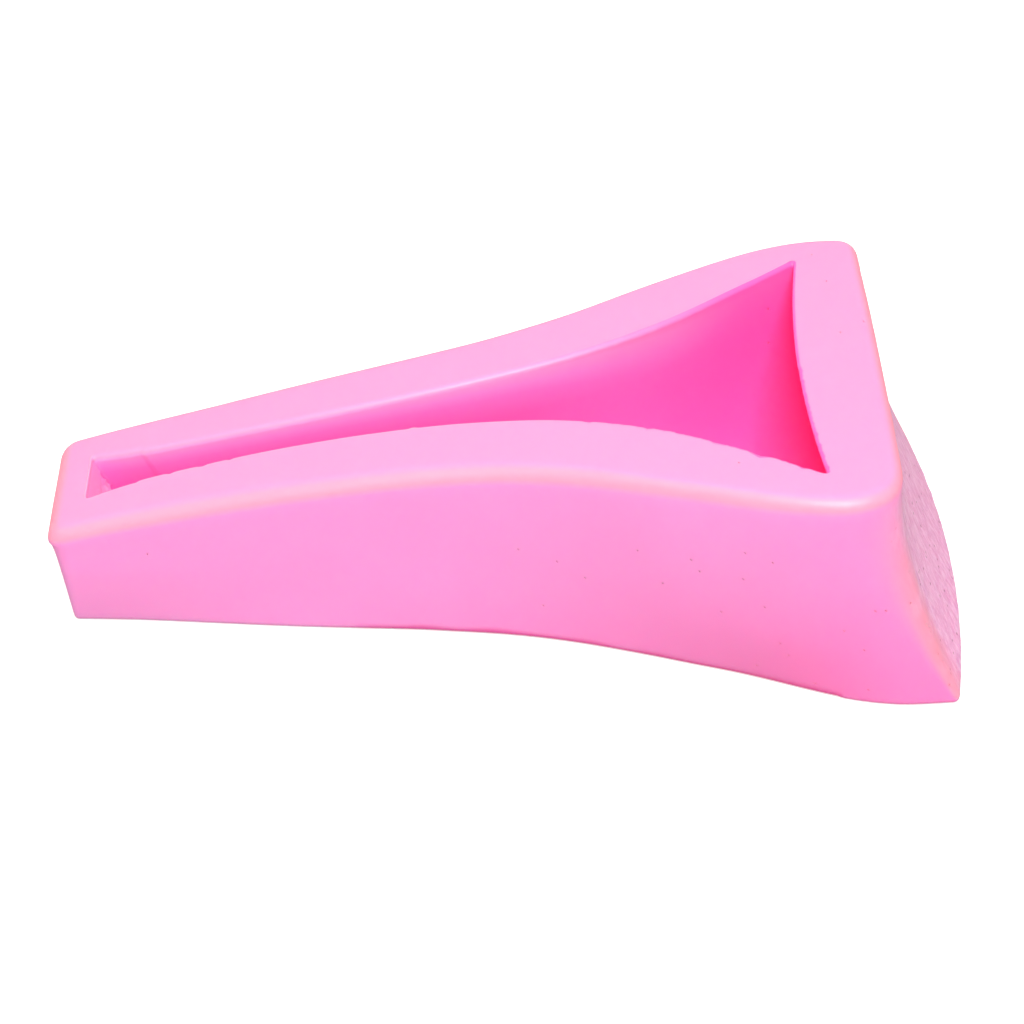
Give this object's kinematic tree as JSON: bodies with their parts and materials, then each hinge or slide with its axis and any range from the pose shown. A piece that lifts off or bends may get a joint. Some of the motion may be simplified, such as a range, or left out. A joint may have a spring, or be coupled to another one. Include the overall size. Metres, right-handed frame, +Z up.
{
  "type": "resin casting mould",
  "caption": "One-piece pink silicone rubber mould, open on top, for casting a stiletto shoe heel in resin or wax; narrow at the tip end and flared at the seat end, on a flat base.",
  "frame": {"origin": "middle of the block's length and width, on its flat base", "axes": "+X along the length towards the wide seat end, +Y across the width, +Z up out of the open top"},
  "size_m": [0.143, 0.071, 0.0399],
  "materials": {
    "silicone_pink": "satin, cast against a polished master; cut-block texture on the seat end wall"
  },
  "bodies": {
    "root": {"mould_body": "silicone_pink"}
  },
  "joints": []
}
